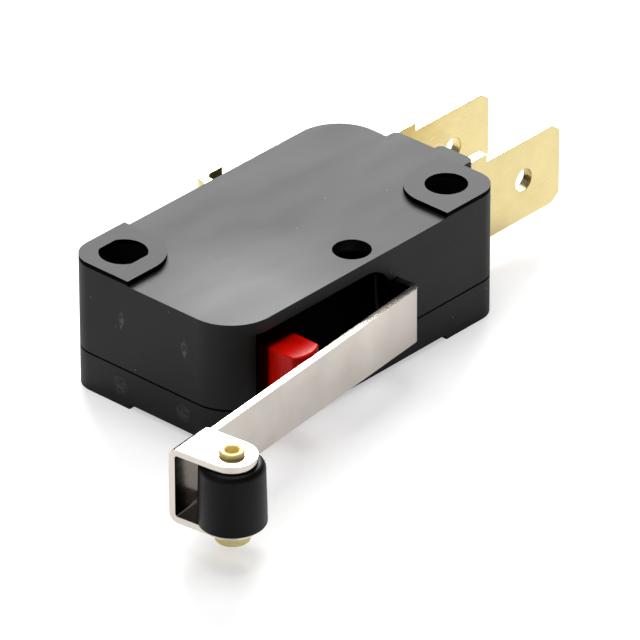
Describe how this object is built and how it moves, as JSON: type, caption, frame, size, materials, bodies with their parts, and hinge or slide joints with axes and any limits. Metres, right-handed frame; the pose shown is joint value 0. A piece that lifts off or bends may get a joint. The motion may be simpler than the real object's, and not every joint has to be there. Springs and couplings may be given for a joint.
{
  "type": "lever micro switch",
  "caption": "Snap-action lever micro switch with a hinge roller lever, a moulded two-part housing, a plunger and blade terminals.",
  "frame": {"origin": "axis of the round mounting hole, in the plane the cover's seating bosses rest on", "axes": "+X along the housing towards the blade terminals, -Y the plunger and lever side, +Z the case side, along the mounting holes"},
  "size_m": [0.0515, 0.0286, 0.0103],
  "materials": {
    "housing_plastic": "satin moulded black thermoset",
    "plunger_plastic": "satin moulded red plastic",
    "stainless_strip": "rolled stainless strip with sheared edges",
    "roller_plastic": "satin turned black nylon",
    "brass_rivet": "bright rolled brass",
    "terminal_brass": "pale stamped brass sheet",
    "contact_silver": "bright silver alloy rivet",
    "copper_alloy": "rolled copper alloy sheet",
    "spring_steel": "drawn spring wire"
  },
  "bodies": {
    "housing": {"case": "housing_plastic", "cover": "housing_plastic", "common_terminal": "terminal_brass", "normally_closed_terminal": "terminal_brass", "normally_open_terminal": "terminal_brass", "closed_contact": "contact_silver", "open_contact": "contact_silver"},
    "lever": {"lever": "stainless_strip", "roller_pin": "brass_rivet"},
    "roller": {"roller": "roller_plastic"},
    "plunger": {"plunger": "plunger_plastic"},
    "rocker": {"rocker": "stainless_strip"},
    "contact_arm": {"contact_arm": "copper_alloy", "moving_contact": "contact_silver"},
    "snap_spring": {"snap_spring": "spring_steel"}
  },
  "joints": [
    {"name": "lever_hinge", "type": "hinge", "parent": "housing", "child": "lever", "pos_m": [-0.0086, -0.00115, 0.00515], "axis": [0, 0, -1], "range_deg": [0, 7.48], "stiffness_Nm_per_rad": 0.12, "springref_deg": -4.58},
    {"name": "roller_spin", "type": "hinge", "parent": "lever", "child": "roller", "pos_m": [-0.0343, -0.01118, 0.00515], "axis": [0, 0, 1], "continuous": true},
    {"name": "plunger_slide", "type": "slide", "parent": "housing", "child": "plunger", "axis": [0, 1, 0], "range_m": [0, 0.00153]},
    {"name": "rocker_hinge", "type": "hinge", "parent": "housing", "child": "rocker", "pos_m": [-0.0125, 0.006, 0.00515], "axis": [0, 0, -1], "range_deg": [0, 11.3]},
    {"name": "contact_arm_hinge", "type": "hinge", "parent": "housing", "child": "contact_arm", "pos_m": [-0.0155, 0.00453, 0.00515], "axis": [0, 0, 1], "range_deg": [0, 4.65]},
    {"name": "spring_hinge", "type": "hinge", "parent": "contact_arm", "child": "snap_spring", "pos_m": [-0.0071, 0.00453, 0.00515], "axis": [0, 0, -1], "range_deg": [0, 5.95]}
  ],
  "couplings": [
    {"joint": "plunger_slide", "follows": "lever_hinge", "m_per_rad": 0.01165},
    {"joint": "rocker_hinge", "follows": "lever_hinge", "ratio": 1.5032},
    {"joint": "contact_arm_hinge", "follows": "lever_hinge", "ratio": 0.61045},
    {"joint": "spring_hinge", "follows": "lever_hinge", "ratio": 0.78315}
  ]
}
